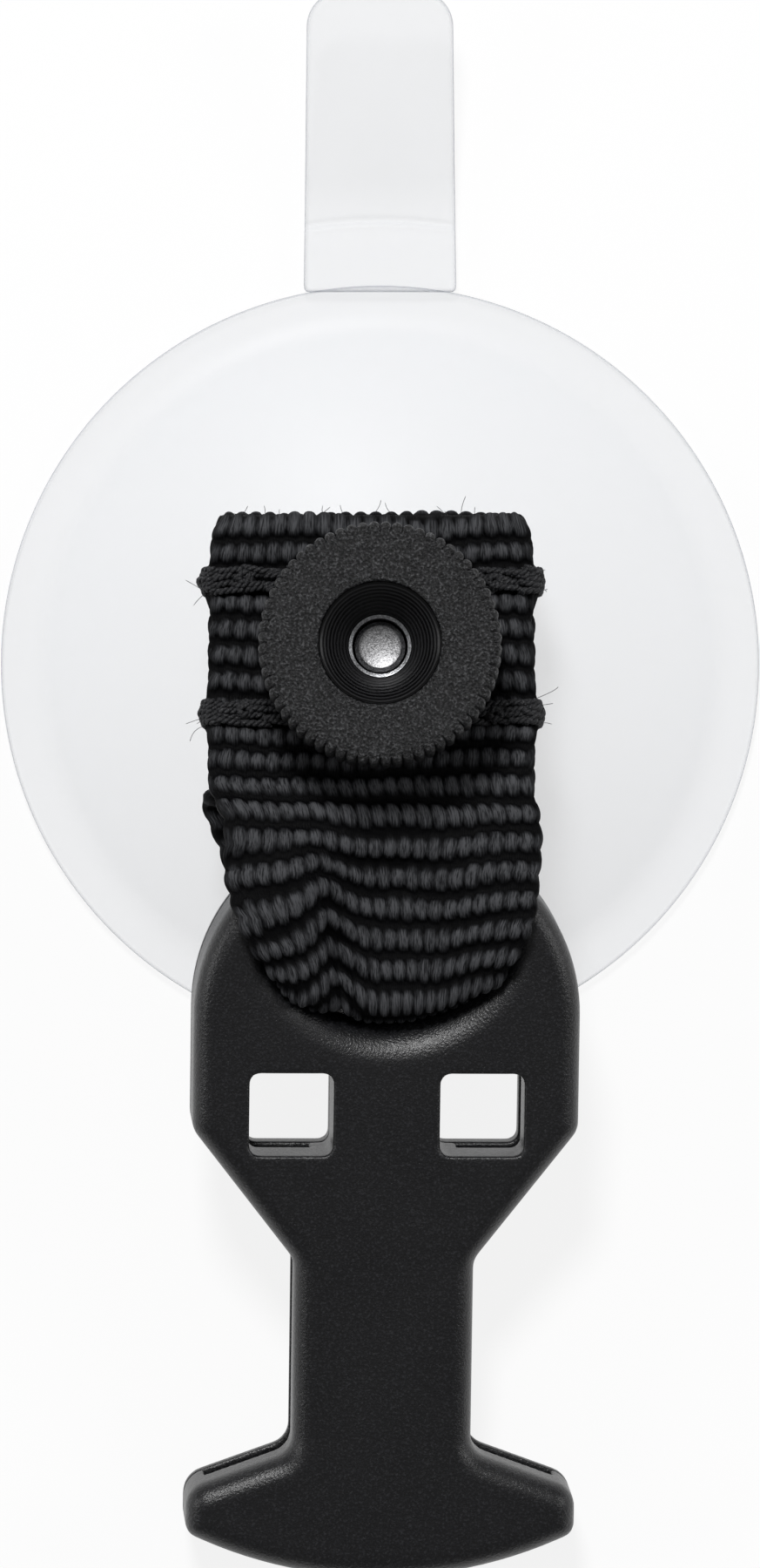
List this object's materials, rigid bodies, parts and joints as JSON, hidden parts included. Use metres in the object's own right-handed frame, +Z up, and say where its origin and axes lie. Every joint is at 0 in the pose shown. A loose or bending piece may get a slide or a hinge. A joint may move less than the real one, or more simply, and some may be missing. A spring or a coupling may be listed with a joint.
{
  "type": "suction cup strap anchor",
  "caption": "Clear suction cup with pull tab and a knurled thumb nut that clamps a sewn webbing loop carrying a flat T-shaped clip.",
  "frame": {"origin": "middle of the footprint, on the plane that the cup's lip and the clip's tail lie on", "axes": "+Z up along the cup's stud, +Y from the clip towards the pull tab, +X to the right seen from above"},
  "size_m": [0.06, 0.1242, 0.026],
  "materials": {
    "clear_pvc": "soft, clear and glossy",
    "zinc_steel": "turned and zinc plated",
    "satin_nylon": "black, knurled, finely spark-eroded",
    "grained_nylon": "black, fine moulded grain",
    "webbing": "black ribbed polyester webbing",
    "thread": "black bonded thread"
  },
  "bodies": {
    "cup": {"suction_cup": "clear_pvc"},
    "tab": {"pull_tab": "clear_pvc"},
    "stud": {"stud": "zinc_steel"},
    "insert": {"nut_insert": "zinc_steel"},
    "nut": {"thumb_nut": "satin_nylon"},
    "strap": {"strap_anchor": "webbing", "stitch_row_upper": "thread", "stitch_row_lower": "thread"},
    "clip": {"strap_loop": "webbing", "clip_front_shell": "grained_nylon", "clip_rear_plate": "grained_nylon"}
  },
  "joints": [
    {"name": "tab_lift", "type": "hinge", "parent": "cup", "child": "tab", "pos_m": [0, 0.03986, 0.0012], "axis": [1, 0, 0], "range_deg": [0, 75], "stiffness_Nm_per_rad": 0.003},
    {"name": "cup_press", "type": "slide", "parent": "cup", "child": "stud", "axis": [0, 0, 1], "range_m": [-0.003, 0], "stiffness_N_per_m": 1200, "deforming": ["suction_cup"]},
    {"name": "nut_rise", "type": "slide", "parent": "stud", "child": "insert", "axis": [0, 0, 1], "range_m": [0, 0.0036]},
    {"name": "nut_turn", "type": "hinge", "parent": "insert", "child": "nut", "pos_m": [0, 0.00971, 0.02], "axis": [0, 0, 1], "range_deg": [0, 1800]},
    {"name": "strap_swivel", "type": "hinge", "parent": "stud", "child": "strap", "pos_m": [0, 0.00971, 0.015], "axis": [0, 0, 1], "range_deg": [-100, 100]},
    {"name": "clip_swing", "type": "hinge", "parent": "strap", "child": "clip", "pos_m": [0, -0.00169, 0.0152], "axis": [-1, 0, 0], "range_deg": [-12, 30], "stiffness_Nm_per_rad": 0.05, "deforming": ["strap_loop"]}
  ],
  "couplings": [
    {"joint": "nut_rise", "follows": "nut_turn", "m_per_rad": 0.00011141}
  ]
}
